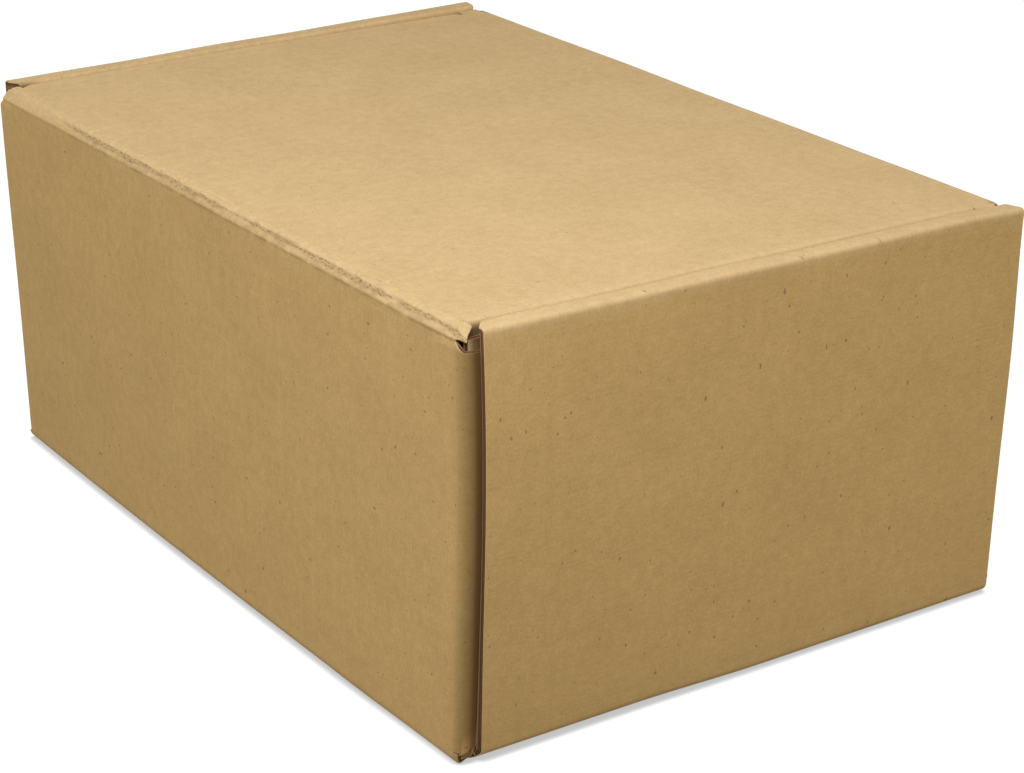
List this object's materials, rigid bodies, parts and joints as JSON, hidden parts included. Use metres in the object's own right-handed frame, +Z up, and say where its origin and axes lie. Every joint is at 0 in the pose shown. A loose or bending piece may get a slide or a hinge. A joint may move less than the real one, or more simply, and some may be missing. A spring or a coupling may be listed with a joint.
{
  "type": "closed cardboard mailing box",
  "caption": "Closed corrugated cardboard mailing box with rolled ends and a hinged lid that tucks in at the front.",
  "frame": {"origin": "middle of the underside of the base, on the surface that the box stands on", "axes": "+X along the box's length, +Y towards the hinge of the lid, +Z up; the lid tucks in on the -Y side"},
  "size_m": [0.227, 0.161, 0.102],
  "materials": {
    "tray_board": "matt brown kraft paper liner with fine fibres",
    "lid_board": "matt brown kraft paper liner with fine fibres"
  },
  "bodies": {
    "tray": {"tray": "tray_board"},
    "lid": {"lid": "lid_board"}
  },
  "joints": [
    {"name": "lid_hinge", "type": "hinge", "parent": "tray", "child": "lid", "pos_m": [0, 0.0799, 0.1004], "axis": [-1, 0, 0], "range_deg": [0, 170]}
  ]
}
